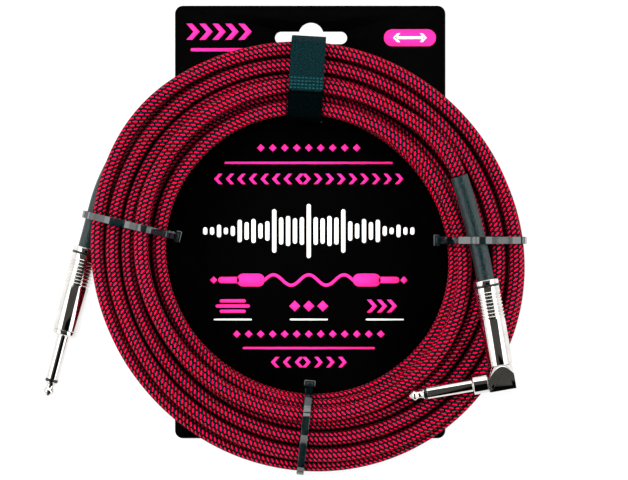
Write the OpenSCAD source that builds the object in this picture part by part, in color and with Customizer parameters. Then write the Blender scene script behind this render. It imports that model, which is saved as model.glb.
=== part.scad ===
// Carded instrument cable: a braided lead wound in four layers, with a straight and an angle
// quarter inch jack plug, tied to a die-cut hang card by a hook-and-loop strap and three ties.
// The part lies on its back, +Z up. The origin is under the middle of the rigid pieces.
// A fit is a named clearance.

/* [Cable] */
// Outer diameter of the braided cable
cable_d = 7; // [6.8:0.1:7]
// Least centre radius of the coil
coil_in_r = 71.7; // [70.8:0.1:71.7]
// Greatest centre radius of the coil
coil_out_r = 105.2; // [105.2:0.1:106]
// Centre radius at which the first loop starts
coil_start_r = 99.7; // [99.6:0.1:100.2]
// Centre radius at which the last loop ends
coil_end_r = 85; // [84.6:0.1:85.6]
// Height from one layer of loops to the next
layer_h = 7.5; // [7.5:0.1:7.8]
// How far the coil is drawn out along its long diagonal
coil_oval = 2.5; // [1.8:0.1:2.8]
// How far the outer loops have slipped towards +X
coil_drift = 1.4; // [1:0.1:1.8]
// How far the outermost loop bulges out over the straight lead
coil_bulge = 3.2; // [2.4:0.1:3.6]
// How far the outermost loop is tucked in at the lower left
coil_tuck = 1.1; // [0.8:0.1:1.2]

/* [Hang card] */
// Width of the card
card_w = 135; // [132:1:140]
// Height of the card
card_h = 216; // [212:1:220]
// Thickness of the board
card_t = 0.6; // [0.5:0.1:0.8]
// Corner radius of the card
card_r = 4; // [2:0.5:6]
// Radius of the round body of the card behind the coil
wing_r = 76; // [75:0.5:80]
// Width of the hang slot
hang_w = 36; // [34:0.5:38]
// Height of the hang slot
hang_h = 6.2; // [6:0.1:6.6]
// Radius of the peg notch above the hang slot
notch_r = 6.25; // [6:0.05:6.5]

/* [Jack plugs] */
// Diameter of the plug shaft
shaft_d = 6.35; // [6.3:0.01:6.4]
// Length of the shaft from its shoulder to the point of the tip
shaft_l = 31; // [30.5:0.1:31.5]
// Outer diameter of the barrel
barrel_d = 12.8; // [12.6:0.1:13]
// Length of the barrel of the straight plug
barrel_l = 42.5; // [42:0.1:43]
// Length of the barrel of the angle plug
angle_barrel_l = 42.3; // [42:0.1:42.6]
// Bore of the barrel
barrel_bore = 10.4; // [10.3:0.1:10.5]
// Number of grip ribs on a barrel
rib_n = 8; // [6:1:9]
// Spacing of the grip ribs
rib_pitch = 1.7; // [1.5:0.05:1.75]
// Depth of the grooves between the ribs
rib_depth = 0.45; // [0.2:0.05:0.6]
// Diameter of the flange at the front of the straight plug
flange_d = 11.4; // [11:0.1:11.8]
// Thickness of that flange
flange_l = 2.4; // [2:0.1:2.6]
// Outer diameter of the threaded neck under the barrel
neck_d = 9.6; // [9.4:0.1:9.7]
// Length of the threaded neck
neck_l = 6; // [5:0.5:7]
// Outer diameter of the heat-shrink sleeving
sleeving_d = 8.6; // [8.4:0.1:8.7]
// Length of the sleeving outside a barrel
sleeving_l = 52; // [46:1:54]
// Side of the square elbow of the angle plug
elbow_w = 13; // [12.8:0.1:13.2]
// Length of the round collar between elbow and shaft
collar_l = 7.5; // [7:0.1:8]
// Diameter of that collar
collar_d = 9.8; // [9.4:0.1:10.2]

/* [Ties and strap] */
// Width of a cable tie
tie_w = 3.6; // [3.4:0.1:3.8]
// Thickness of a cable tie
tie_t = 1.2; // [1:0.1:1.2]
// Width of the hook-and-loop strap
strap_w = 17; // [16:0.5:18]
// Thickness of the strap where it is one layer
strap_t = 1.2; // [1:0.1:1.2]
// Length of the flap that peels open
flap_l = 26; // [24:0.5:26]

/* [Clearances] */
// Gap between the cable and what lies round it
tie_gap = 0.8; // [0.75:0.05:0.9]
// Gap between pieces that move past each other
run_gap = 0.3; // [0.25:0.05:0.35]
// Gap between the face of a barrel and the shoulder it screws up to
face_gap = 0.1; // [0.05:0.05:0.15]
// Play all round in the slots of the card
slot_gap = 0.15; // [0.15:0.05:0.5]

/* [Hidden] */
$fn = 48;
// Where the middle of the coil and of the card lie
coil_at = [11.5, -7.2];
card_at = [12.7, 9.5];
base_z = max(tie_t, strap_t);         // the bands that pass behind the card carry it
card_top = base_z + card_t;
first_z = card_top + cable_d / 2 + 0.1;

// The coil: turns in each layer, and the angle at which the first loop starts
layer_turns = [3.5, 4.2778, 4.2, 1.2167];
start_angle = 130;
oval_angle = 142;
ring_n = 24;                          // rings in a loop
coil_sides = 6;
layer_ends = [coil_start_r, coil_in_r, coil_out_r, coil_in_r, coil_end_r];
turn_marks = [for (k = [0:4]) sum_to(layer_turns, k)];
turns = turn_marks[4];

function sum_to(list, k) = k == 0 ? 0 : list[k - 1] + sum_to(list, k - 1);
function smooth(x) = let (q = max(0, min(1, x))) q * q * (3 - 2 * q);
function layer_at(u) = u < turn_marks[1] ? 0 : u < turn_marks[2] ? 1 : u < turn_marks[3] ? 2 : 3;
function spiral_r(u) = let (k = layer_at(u), f = (u - turn_marks[k]) / layer_turns[k])
    layer_ends[k] + (layer_ends[k + 1] - layer_ends[k]) * f;
// all loops are drawn out alike, and the outer ones have slipped furthest
function outness(u) = (spiral_r(u) - coil_in_r) / (coil_out_r - coil_in_r);
// the outermost loop bulges out over the straight lead and is tucked in below it
function slip(a) = coil_bulge * pow(max(0, cos(a - 138)), 16) - coil_tuck * pow(max(0, cos(a - 208)), 8);
function coil_r(u) = spiral_r(u) + coil_drift * outness(u) * cos(coil_angle(u))
    + coil_oval * cos(2 * (coil_angle(u) - oval_angle)) + slip(coil_angle(u)) * pow(outness(u), 8);
function coil_angle(u) = start_angle - 360 * u;
// each climb takes the half turn in which the spiral reverses
function coil_z(u) = first_z + layer_h * (smooth(2 * (u - turn_marks[1]) + 0.5)
    + smooth(2 * (u - turn_marks[2]) + 0.5) + smooth(2 * (u - turn_marks[3]) + 0.5));
function coil_point(u) = [coil_at.x + coil_r(u) * cos(coil_angle(u)),
    coil_at.y + coil_r(u) * sin(coil_angle(u)), coil_z(u)];
function unit(v) = v / norm(v);
function heading(u) = unit(coil_point(u + 0.002) - coil_point(u - 0.002));
top_z = first_z + 3 * layer_h;        // centre height of the top layer

// Least gap of the coil to itself, measured on points that lie at least a quarter turn apart
gap_step = 1 / 48;
gap_points = [for (i = [0:floor(turns / gap_step)]) coil_point(i * gap_step)];
function near_gap(i) = min([for (t = [round(i + 0.8 / gap_step):len(gap_points) - 1])
    norm(gap_points[t] - gap_points[i])]);
self_gap = min([for (i = [0:len(gap_points) - 1 - round(0.8 / gap_step)]) near_gap(i)]) - cable_d;
function length_of(p) = [for (i = [1:len(p) - 1]) norm(p[i] - p[i - 1])]
    * [for (i = [1:len(p) - 1]) 1];

// Straight plug: where the back end of its barrel lies, and how far it leans from +Y
straight_end = [-98.5, -3.3];
straight_lean = 14.8;
straight_len = flange_l + face_gap + barrel_l;
straight_z = barrel_d / 2 + 0.4;
// Angle plug: the corner of its elbow and its lean; it lies on the top layer of the coil
angle_corner = [106.7, -67.5];
angle_lean = 10;
angle_lift = 0.9;
angle_z = top_z + cable_d / 2 + shaft_d / 2 + angle_lift;
elbow_top = 7;                        // from the corner to the foot of the angle barrel
elbow_side = 7.6;                     // from the corner to the collar of the angle shaft

// Plug details, measured from the shoulder, the cable end at +Z
ring_at = 22.5;                       // shoulder to the insulating ring
ring_l = 1.5;
tube_wall = 0.6;
tail_l = 5;                           // length of the closed tail of the barrel
mark_l = 1.2;                         // the black ring let into the tail of the barrel
core_d = 2.4;
pin_d = 2.2;                          // rod that joins the tip to its solder tag
bush_d = 4.4;                         // insulation round that rod
in_barrel = 3;                        // how far the sleeving reaches into the barrel's tail

// Routes of the two free leads, from the coil to the sleeving
lead_sides = 8;
straight_dir = [sin(straight_lean), cos(straight_lean), 0];
angle_dir = [-sin(angle_lean), cos(angle_lean), 0];
straight_rear = [straight_end.x, straight_end.y, straight_z];
angle_rear = [angle_corner.x, angle_corner.y, angle_z]
    + (elbow_top + face_gap + angle_barrel_l) * angle_dir;
// The sleeving of the straight plug runs straight, then bends under the coil
straight_run = 22;
straight_bend_r = 85;
straight_bend = (sleeving_l - straight_run) / straight_bend_r * 180 / PI;
angle_bend_r = 346;
angle_bend = sleeving_l / angle_bend_r * 180 / PI;
function lean_dir(a) = [sin(a), cos(a), 0];
straight_exit = straight_rear + straight_run * straight_dir
    + straight_bend_r * ([cos(straight_lean), -sin(straight_lean), 0]
    - [cos(straight_lean + straight_bend), -sin(straight_lean + straight_bend), 0]);
straight_exit_dir = lean_dir(straight_lean + straight_bend);
angle_exit = angle_rear + angle_bend_r * ([-cos(angle_lean), -sin(angle_lean), 0]
    + [cos(angle_lean + angle_bend), sin(angle_lean + angle_bend), 0]);
angle_exit_dir = lean_dir(-angle_lean - angle_bend);
coil_start = coil_point(0) - cable_d * heading(0);
coil_end = coil_point(turns) + cable_d * heading(turns);
// Points of the two free leads between the sleeving and the coil
straight_route = [[-76.7, 49.8, 6.7], [-72.8, 54.4, 6.3], [-68.6, 58.7, 5.9], [-64.2, 62.8, 5.5]];
angle_route = [[83.1, 37, 35.1], [80.3, 42, 34], [76.9, 46.6, 32.5], [73.1, 50.8, 30.9],
    [68.8, 54.6, 29.4], [64.1, 58, 28.3]];

// A tube along points, with its first and last rings square to the given directions
module tube(points, first, last, d, sides) {
    n = len(points);
    dir = [for (i = [0:n - 1]) i == 0 ? first : i == n - 1 ? last
        : unit(points[i + 1] - points[i - 1])];
    rim = [for (i = [0:n - 1]) let (side = unit(cross(dir[i], [0, 0, 1])), up = cross(side, dir[i]))
        for (j = [0:sides - 1]) let (a = 360 * j / sides)
            points[i] + d / 2 * (cos(a) * side + sin(a) * up)];
    skin = [for (i = [0:n - 2], j = [0:sides - 1]) let (a = i * sides + j,
        b = i * sides + (j + 1) % sides) each [[a, a + sides, b], [b, a + sides, b + sides]]];
    caps = [for (j = [1:sides - 2]) each [[0, j, j + 1],
        [(n - 1) * sides, (n - 1) * sides + j + 1, (n - 1) * sides + j]]];
    polyhedron(rim, concat(skin, caps));
}

// The coil ends run straight for one diameter, square to the leads they meet
module cable_coil() {
    steps = round(turns * ring_n);
    path = concat([coil_start], [for (i = [0:steps]) coil_point(turns * i / steps)], [coil_end]);
    echo(coil_gap = self_gap, coil_length = length_of(path));
    color("crimson") tube(path, heading(0), heading(turns), cable_d, coil_sides);
}

module straight_lead() {
    path = concat([straight_exit], straight_route, [coil_start]);
    echo(straight_lead_length = length_of(path));
    color("crimson") tube(path, straight_exit_dir, heading(0), cable_d, lead_sides);
}

module angle_lead() {
    path = concat([angle_exit], angle_route, [coil_end]);
    echo(angle_lead_length = length_of(path));
    color("crimson") tube(path, angle_exit_dir, -heading(turns), cable_d, lead_sides);
}

// Frames of the two plugs: +Z runs from the tip to the cable, the shoulder of the barrel at 0
module at_straight() {
    translate(straight_rear - straight_len * straight_dir) rotate([-90, 0, -straight_lean])
        children();
}

module at_elbow() {
    translate([angle_corner.x, angle_corner.y, angle_z]) rotate([0, 0, angle_lean]) children();
}

// Frame of the angle plug's shaft, with its shoulder on the collar
module at_angle_shaft() {
    at_elbow() translate([-elbow_side - collar_l, 0, 0]) rotate([0, 90, 0]) children();
}

// Frame of the angle plug's barrel, its foot on the elbow
module at_angle_barrel() {
    at_elbow() translate([0, elbow_top, 0]) rotate([-90, 0, 0]) children();
}

// A turned piece from radius and height pairs
module turned(profile) {
    rotate_extrude() polygon(profile);
}

module pipe(outer, inner, length) {
    difference() {
        cylinder(d = outer, h = length);
        translate([0, 0, -1]) cylinder(d = inner, h = length + 2);
    }
}

// Tip contact with its waist, and the rod that carries it through the shaft
module tip(rod_end) {
    r = shaft_d / 2;
    color("silver") turned([[0, -shaft_l], [0.6, -shaft_l + 0.1], [1.1, -shaft_l + 0.6],
        [r - 0.5, -shaft_l + 2.6], [r - 0.45, -shaft_l + 3.2], [r - 1.3, -shaft_l + 4.9],
        [r - 1.3, -shaft_l + 5.4], [r - 0.3, -ring_at - ring_l], [pin_d / 2, -ring_at - ring_l],
        [pin_d / 2, rod_end], [0, rod_end]]);
}

module tip_ring() {
    color("black") translate([0, 0, -ring_at - ring_l]) pipe(shaft_d, pin_d, ring_l);
}

// The insulation round the rod runs the length of the shaft and ends in a flat washer
module washer(length, washer_d) {
    color("dimgray") translate([0, 0, -ring_at]) pipe(bush_d, pin_d, ring_at + length);
    if (washer_d > 0) color("dimgray") translate([0, 0, length]) pipe(washer_d, pin_d, washer_t);
}

// Inside a barrel every height is measured from the foot of the barrel
neck_end = neck_l - face_gap;
washer_t = 1;
washer_disc_d = bush_d + 1.6;
tag_t = 0.5;
tag_w = 2.4;
strip_y = -3.7;                       // place of the ground tag's strip
clamp_at = 26;
clamp_l = 3.6;
jacket_d = 5;
jacket_from = clamp_at - 2;
tube_from = neck_end + 2.1;
tube_l = 19;
tip_tag_l = 8;

// Ground tag: a ring under the washer's rim, a strip, and a clamp round the cable's inner jacket
module ground_tag() {
    strip_l = clamp_at + clamp_l - neck_end;
    color("khaki") {
        difference() {
            union() {
                translate([0, 0, neck_end]) cylinder(d = neck_d - 0.2, h = tag_t);
                translate([-tag_w / 2, strip_y, neck_end]) cube([tag_w, tag_t, strip_l]);
                translate([0, 0, clamp_at]) cylinder(d = jacket_d + 1.8, h = clamp_l);
            }
            translate([0, 0, neck_end - 1]) cylinder(d = washer_disc_d + 0.2, h = tag_t + 2);
            translate([0, 0, clamp_at - 1]) cylinder(d = jacket_d + 0.1, h = clamp_l + 2);
            translate([0.4, 0, clamp_at - 1]) cube([1, jacket_d, clamp_l + 2]);
        }
    }
}

// Stripped end of the cable: the core goes to the tip tag, the jacket through the clamp, and the
// braided cable on through the sleeving
module core(from, length, run, bend_r, side) {
    color("white") translate([0, 1.2, from]) cylinder(d = core_d, h = jacket_from - from);
    color("dimgray") translate([0, 0, jacket_from])
        cylinder(d = jacket_d, h = length - tail_l - in_barrel + 1 - jacket_from);
    color("crimson") sleeve_run(cable_d, length - tail_l - in_barrel + 1, length, run, bend_r, side);
}

module insulator() {
    color("ivory") translate([0, 0, tube_from])
        pipe(barrel_bore - 2 * run_gap, barrel_bore - 2 * run_gap - 2 * tube_wall, tube_l);
}

// Barrel with a chamfered foot, a slow taper, grip ribs and a groove for the black ring
module barrel(length) {
    r = barrel_d / 2;
    rib_from = length - tail_l - rib_n * rib_pitch - 1;
    mark_from = length - tail_l / 2 - mark_l;
    ribs = [for (i = [0:rib_n - 1]) let (z = rib_from + i * rib_pitch) each
        [[r - rib_depth, z], [r - rib_depth, z + 0.35 * rib_pitch], [r, z + 0.45 * rib_pitch],
        [r, z + 0.9 * rib_pitch]]];
    color("silver") difference() {
        turned(concat([[0, 0], [r - 0.7, 0], [r - 0.4, 0.4], [r - 0.2, rib_from - 0.4]], ribs,
            [[r - 0.15, rib_from + rib_n * rib_pitch], [r - 0.15, mark_from],
            [r - 0.9, mark_from], [r - 0.9, mark_from + mark_l], [r, mark_from + mark_l],
            [r, length - 0.3], [r - 0.3, length], [0, length]]));
        translate([0, 0, -1]) cylinder(d = barrel_bore, h = length - tail_l + 1);
        translate([0, 0, length - tail_l - 1])
            cylinder(d = sleeving_d + 2 * run_gap, h = tail_l + 2);
    }
}

module barrel_ring(length) {
    color("black") translate([0, 0, length - tail_l / 2 - mark_l])
        pipe(barrel_d + 0.1, barrel_d - 1.8, mark_l);
}

// A round run along the plug's axis that then bends to the given side
module sleeve_run(d, from, length, run, bend_r, side) {
    translate([0, 0, from]) cylinder(d = d, h = length + run - from);
    translate([side * bend_r, 0, length + run]) rotate([90, 0, side > 0 ? 180 : 0])
        rotate_extrude(angle = (sleeving_l - run) / bend_r * 180 / PI)
        translate([bend_r, 0]) circle(d = d);
}

module sleeving(length, run, bend_r, side) {
    from = length - tail_l - in_barrel + 1;
    color("black") difference() {
        sleeve_run(sleeving_d, from, length, run, bend_r, side);
        sleeve_run(cable_d, from - 0.01, length, run, bend_r, side);
    }
}

// Straight plug
module straight_tip() { at_straight() tip(flange_l + neck_l + washer_t + 3); }
module straight_tip_ring() { at_straight() tip_ring(); }
module straight_washer() { at_straight() washer(flange_l + neck_l, washer_disc_d); }

module straight_shaft() {
    color("silver") at_straight() difference() {
        turned([[0, -ring_at], [shaft_d / 2, -ring_at], [shaft_d / 2, 0], [flange_d / 2 - 0.8, 0],
            [flange_d / 2, 0.8], [flange_d / 2, flange_l], [neck_d / 2, flange_l],
            [neck_d / 2, flange_l + neck_l], [0, flange_l + neck_l]]);
        translate([0, 0, -ring_at - 1]) cylinder(d = bush_d, h = ring_at + flange_l + neck_l + 2);
    }
}

module at_straight_barrel() { at_straight() translate([0, 0, flange_l + face_gap]) children(); }

// Solder tag: a disc riveted on the rod and a strip along the cable
module straight_tip_tag() {
    color("khaki") at_straight_barrel() translate([0, 0, neck_end + washer_t]) {
        pipe(bush_d, pin_d, tag_t);
        translate([-tag_w / 2, bush_d / 2 - tag_t, 0]) cube([tag_w, tag_t, tip_tag_l]);
    }
}

module straight_ground_tag() { at_straight_barrel() ground_tag(); }
module straight_core() {
    at_straight_barrel() core(neck_end + tip_tag_l + washer_t + 0.3, barrel_l, straight_run,
        straight_bend_r, 1);
}
module straight_insulator() { at_straight_barrel() insulator(); }
module straight_barrel() { at_straight_barrel() barrel(barrel_l); }
module straight_barrel_ring() { at_straight_barrel() barrel_ring(barrel_l); }
module straight_sleeving() {
    at_straight_barrel() sleeving(barrel_l, straight_run, straight_bend_r, 1);
}

// Angle plug
module at_angle_foot() { at_angle_barrel() translate([0, 0, face_gap]) children(); }
cavity_d = washer_disc_d;             // hollow of the elbow, in line with the barrel

module angle_tip() { at_angle_shaft() tip(collar_l + elbow_side + 1.2); }
module angle_tip_ring() { at_angle_shaft() tip_ring(); }
module angle_washer() { at_angle_shaft() washer(collar_l + elbow_side - cavity_d / 2 + 0.6, 0); }

module angle_shaft() {
    color("silver") at_angle_shaft() difference() {
        turned([[0, -ring_at], [shaft_d / 2, -ring_at], [shaft_d / 2, 0], [collar_d / 2 - 0.4, 0],
            [collar_d / 2, 0.4], [collar_d / 2, collar_l - 0.4], [collar_d / 2 - 0.4, collar_l],
            [0, collar_l]]);
        translate([0, 0, -ring_at - 1]) cylinder(d = bush_d, h = ring_at + collar_l + 2);
    }
}

// Elbow: a square bar turned to the size of the barrel at its top, with the threaded neck
module angle_elbow() {
    side_h = elbow_side + elbow_w / 2 - 0.1;
    low = elbow_w - elbow_top;
    color("silver") at_elbow() difference() {
        union() {
            intersection() {
                translate([-elbow_side, -low, -barrel_d / 2])
                    cube([side_h, elbow_w, barrel_d]);
                rotate([-90, 0, 0]) translate([0, 0, -low]) turned([[0, 0], [9.6, 0], [10, 0.4],
                    [10, elbow_w - 6.2], [barrel_d / 2 - 0.2, elbow_w], [0, elbow_w]]);
            }
            rotate([-90, 0, 0]) cylinder(d = neck_d, h = elbow_top + neck_l);
        }
        rotate([-90, 0, 0]) translate([0, 0, -cavity_d / 2])
            cylinder(d = cavity_d, h = elbow_top + neck_l + cavity_d);
        translate([-elbow_side - 1, 0, 0]) rotate([0, 90, 0])
            cylinder(d = bush_d, h = elbow_side + 1);
    }
}

module angle_tip_tag() {
    color("khaki") at_elbow() {
        translate([1.3, 0, 0]) rotate([0, 90, 0]) cylinder(d = 3, h = tag_t);
        translate([1.3, 0, -tag_w / 2])
            cube([tag_t, elbow_top + neck_l + tip_tag_l / 2, tag_w]);
    }
}

module angle_ground_tag() { at_angle_foot() ground_tag(); }
module angle_core() {
    at_angle_foot() core(neck_end + tip_tag_l, angle_barrel_l, 0, angle_bend_r, -1);
}
module angle_insulator() { at_angle_foot() insulator(); }
module angle_barrel() { at_angle_foot() barrel(angle_barrel_l); }
module angle_barrel_ring() { at_angle_foot() barrel_ring(angle_barrel_l); }
module angle_sleeving() { at_angle_foot() sleeving(angle_barrel_l, 0, angle_bend_r, -1); }

// Where the loops cross a line out from the middle of the coil: [radius, height] of each
function first_turn(angle) = ((start_angle - angle) % 360 + 360) % 360 / 360;
function crossing(u, lean) = let (slip = asin(mid_r * sin(lean) / coil_r(u)) - lean,
    r = coil_r(u + slip / 360), off = mid_r * sin(lean))
    [mid_r + sqrt(r * r - off * off) - mid_r * cos(lean), coil_z(u + slip / 360)];
function crossings(angle, lean) = [for (u = [first_turn(angle):1:turns]) crossing(u, lean)];
function least(list, k) = min([for (c = list) c[k]]);
function most(list, k) = max([for (c = list) c[k]]);

// Frame of a band round the coil: +X runs outward along the band, +Y up, the middle of the
// loops at mid_r; lean turns the band from the radial line
mid_r = (coil_in_r + coil_out_r) / 2;
module at_band(angle, lean) {
    translate([coil_at.x + mid_r * cos(angle), coil_at.y + mid_r * sin(angle), 0])
        rotate([90, 0, angle + lean]) translate([-mid_r, 0, 0]) children();
}

// Closed outline of a band round the given crossings, grown by a band thickness where asked
corner_r = 1;
module outline(marks, extra, grow) {
    reach = cable_d / 2 + tie_gap;
    in_x = least(marks, 0) - reach + corner_r;
    out_x = most(marks, 0) + reach - corner_r;
    hull() {
        for (m = marks) translate(m) circle(r = reach + grow, $fn = 32);
        for (e = extra) translate([e[0], e[1]]) circle(r = e[2] + tie_gap + grow, $fn = 32);
        for (x = [in_x, out_x]) translate([x, base_z + corner_r])
            circle(r = corner_r + grow, $fn = 32);
    }
}

module band(marks, extra, w, t) {
    linear_extrude(w, center = true) difference() {
        outline(marks, extra, t);
        outline(marks, extra, 0);
    }
}

// Head of a tie on the inner leg, which stands off the loops, and the cut tail beyond it
head_l = 6.6;
head_w = 5.8;
head_t = 3.2;
head_z = 9;
tail_out = 1.6;
tie_slack = 2.4;
function leg_x(marks) = least(marks, 0) - cable_d / 2 - tie_gap - tie_slack;
module tie_head(marks) {
    window_w = tie_w - 1.2;
    translate([leg_x(marks) - head_t - tie_t / 2, head_z, -head_w / 2]) difference() {
        cube([head_t, head_l, head_w]);
        translate([-1, head_l / 2 - 1, (head_w - window_w) / 2]) cube([1.6, 2, window_w]);
    }
    translate([leg_x(marks) - head_t + tie_t / 2, head_z + 1, -tie_w / 2 + 0.4])
        cube([tie_t, head_l - 1 + tail_out, tie_w - 0.8]);
}

// Each tie: angle round the coil, lean of the band
left_at = [170.3, -3.6];
right_at = [4.9, -4.9];
bottom_at = [268.9, -5.1];
function tie_marks(at) = crossings(at[0], at[1]);

// Round pieces that a band takes in beside the loops: [distance, height, radius]
function sleeve_point(rear, dir, s) = rear + s * dir;
function in_band(p, at) = let (v = [p.x - coil_at.x - mid_r * cos(at[0]),
    p.y - coil_at.y - mid_r * sin(at[0])]) [mid_r + v.x * cos(at[0] + at[1]) + v.y * sin(at[0] + at[1]),
    p.z, sleeving_d / 2];
left_sleeve = in_band(sleeve_point(straight_rear, straight_dir, 16), left_at);
right_sleeve = in_band(angle_rear + 17 * lean_dir(-angle_lean - 17 / angle_bend_r * 90 / PI), right_at);

module tie(at, extra) {
    marks = tie_marks(at);
    leg = [least(marks, 0) - tie_slack, head_z + head_l / 2, cable_d / 2];
    color("black") at_band(at[0], at[1]) {
        band(marks, concat(extra, [leg]), tie_w, tie_t);
        tie_head(marks);
    }
}

module left_tie() { tie(left_at, [left_sleeve]); }
module right_tie() { tie(right_at, [right_sleeve]); }
module bottom_tie() { tie(bottom_at, []); }

// The strap lies across the top of the coil
strap_at = [90.3, -3.5];
strap_slack = 1.4;
strap_marks = crossings(strap_at[0], strap_at[1]);
strap_ends = [for (x = [least(strap_marks, 0) - strap_slack / 2, most(strap_marks, 0) + strap_slack])
    [x, first_z + layer_h, cable_d / 2]];
module at_strap() { at_band(strap_at[0], strap_at[1]) children(); }
module strap_tape() {
    color("black") at_strap() band(strap_marks, strap_ends, strap_w, strap_t);
}

// The flap lies on the flat of the strap between the outermost and the highest loop
flap_t = 1.4;
function highest() = [for (m = strap_marks) if (m[1] == most(strap_marks, 1)) m][0];
shoulder_u = first_turn(strap_at[0]) + ceil(turn_marks[2] + 0.25 - first_turn(strap_at[0]));
shoulder = crossing(shoulder_u, strap_at[1]);
flap_dir = unit(highest() - shoulder);
flap_up = [-flap_dir.y, flap_dir.x] * (flap_dir.x < 0 ? -1 : 1);
flap_foot = shoulder + (cable_d / 2 + tie_gap + strap_t + run_gap) * flap_up;
module strap_flap() {
    corner = 2;
    color("dimgray") at_strap() translate([flap_foot.x, flap_foot.y, 0])
        rotate([0, 0, atan2(flap_dir.y, flap_dir.x)]) rotate([90, 0, 0]) linear_extrude(flap_t) {
            translate([0, -strap_w / 2]) square([flap_l - corner, strap_w]);
            translate([0, -strap_w / 2 + corner]) square([flap_l, strap_w - 2 * corner]);
            for (s = [-1, 1]) translate([flap_l - corner, s * (strap_w / 2 - corner)]) circle(corner);
        }
}

// Card: a header and foot with a round body, the hang slot and the slots for the bands
module rounded(w, h, r) {
    square([w - 2 * r, h], center = true);
    square([w, h - 2 * r], center = true);
    for (x = [-1, 1], y = [-1, 1]) translate([x * (w / 2 - r), y * (h / 2 - r)]) circle(r);
}

hang_at = [0.4, 91.9];                // middle of the hang slot from the middle of the card
notch_rise = 1.35;
module band_slot(at, marks, w, t) {
    x = least(marks, 0) - cable_d / 2 - tie_gap;
    translate([coil_at.x + mid_r * cos(at[0]), coil_at.y + mid_r * sin(at[0])])
        rotate([0, 0, at[0] + at[1]]) translate([x - mid_r - t - slot_gap, -w / 2 - slot_gap])
        square([t + corner_r + 2 * slot_gap, w + 2 * slot_gap]);
}

module hang_card() {
    color("black") translate([0, 0, base_z]) linear_extrude(card_t) difference() {
        union() {
            translate(card_at) rounded(card_w, card_h, card_r);
            translate(coil_at) circle(wing_r, $fn = 96);
        }
        translate(card_at + hang_at) {
            square([hang_w - hang_h, hang_h], center = true);
            for (x = [-1, 1]) translate([x * (hang_w - hang_h) / 2, 0]) circle(d = hang_h);
            translate([0, notch_rise]) circle(notch_r);
        }
        band_slot(strap_at, strap_marks, strap_w, strap_t);
        for (at = [left_at, right_at, bottom_at]) band_slot(at, tie_marks(at), tie_w, tie_t);
    }
}

hang_card();
cable_coil();
straight_lead();
angle_lead();
straight_tip();
straight_tip_ring();
straight_shaft();
straight_washer();
straight_tip_tag();
straight_ground_tag();
straight_core();
straight_insulator();
straight_barrel();
straight_barrel_ring();
straight_sleeving();
angle_tip();
angle_tip_ring();
angle_shaft();
angle_elbow();
angle_washer();
angle_tip_tag();
angle_ground_tag();
angle_core();
angle_insulator();
angle_barrel();
angle_barrel_ring();
angle_sleeving();
left_tie();
right_tie();
bottom_tie();
strap_tape();
strap_flap();
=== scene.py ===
from functools import partial
from math import asin, copysign, cos, degrees, exp, floor, hypot, pi, radians, sin, sqrt, tau
import bmesh
import bpy
from mathutils import Matrix, Vector
from mathutils.geometry import convex_hull_2d


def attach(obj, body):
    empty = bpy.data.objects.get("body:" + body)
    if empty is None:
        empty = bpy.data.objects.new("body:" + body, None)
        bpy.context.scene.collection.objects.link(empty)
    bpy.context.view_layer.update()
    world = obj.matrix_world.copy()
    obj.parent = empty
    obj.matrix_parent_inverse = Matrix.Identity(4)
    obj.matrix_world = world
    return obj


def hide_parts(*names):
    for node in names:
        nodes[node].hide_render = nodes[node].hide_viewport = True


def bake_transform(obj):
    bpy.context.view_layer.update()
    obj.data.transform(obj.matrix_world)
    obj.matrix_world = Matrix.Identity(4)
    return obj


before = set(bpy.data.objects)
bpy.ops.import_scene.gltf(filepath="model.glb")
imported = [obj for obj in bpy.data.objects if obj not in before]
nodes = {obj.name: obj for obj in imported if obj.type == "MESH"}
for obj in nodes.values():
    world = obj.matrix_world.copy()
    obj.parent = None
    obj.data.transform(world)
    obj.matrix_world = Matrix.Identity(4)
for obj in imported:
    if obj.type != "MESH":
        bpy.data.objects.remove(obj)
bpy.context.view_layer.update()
print("frame loaded:", len(nodes), "nodes")


# small helpers: sizes are written in mm and become metres here

def mm(*values):
    scaled = [value / 1000 for value in values]
    return scaled[0] if len(scaled) == 1 else Vector(scaled)


def hexColor(code):
    def toLinear(c):
        return c / 12.92 if c <= 0.04045 else ((c + 0.055) / 1.055) ** 2.4
    return tuple(toLinear(int(code[i:i + 2], 16) / 255) for i in (1, 3, 5)) + (1.0,)


def fill(node, inputs):
    # a socket is linked, a hex colour is turned linear, and any other value is set on the input itself
    for key, value in inputs.items():
        if isinstance(value, bpy.types.NodeSocket):
            node.id_data.links.new(value, node.inputs[key])
        else:
            node.inputs[key].default_value = hexColor(value) if isinstance(value, str) else value


def addNode(tree, kind, *values, output=0, **settings):
    # kind is the node's type, or a Math operation in capitals, and a Mix mixes two colours; the values fill
    # the inputs in order, or by name where they come as one dictionary
    node = tree.nodes.new("ShaderNode" + ("Math" if kind.isupper() else kind))
    if kind.isupper():
        node.operation = kind
    if kind == "Mix":
        node.data_type, output, values = "RGBA", 2, [dict(zip((0, 6, 7), values))]
    for name, value in settings.items():
        setattr(node, name, value)
    fill(node, values[0] if values and isinstance(values[0], dict) else dict(enumerate(values)))
    return node.outputs[output]


def newMaterial(name):
    # the material, its shader, and addNode for its tree
    material = bpy.data.materials.new(name)
    material.use_nodes = True
    return material, material.node_tree.nodes["Principled BSDF"], partial(addNode, material.node_tree)


def grain(add, scale, detail=2.0, low=0.0, high=1.0, coords=None):
    # noise over the surface, stretched to the given range; scale is in cells per metre
    coords = coords or add("TexCoord", output="Object")
    noise = add("TexNoise", {"Vector": coords, "Scale": scale, "Detail": detail})
    return add("MapRange", noise, 0.3, 0.7, low, high)


def linked(name, data):
    # a new object that holds the data, in the scene
    made = bpy.data.objects.new(name, data)
    bpy.context.collection.objects.link(made)
    return made


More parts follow.
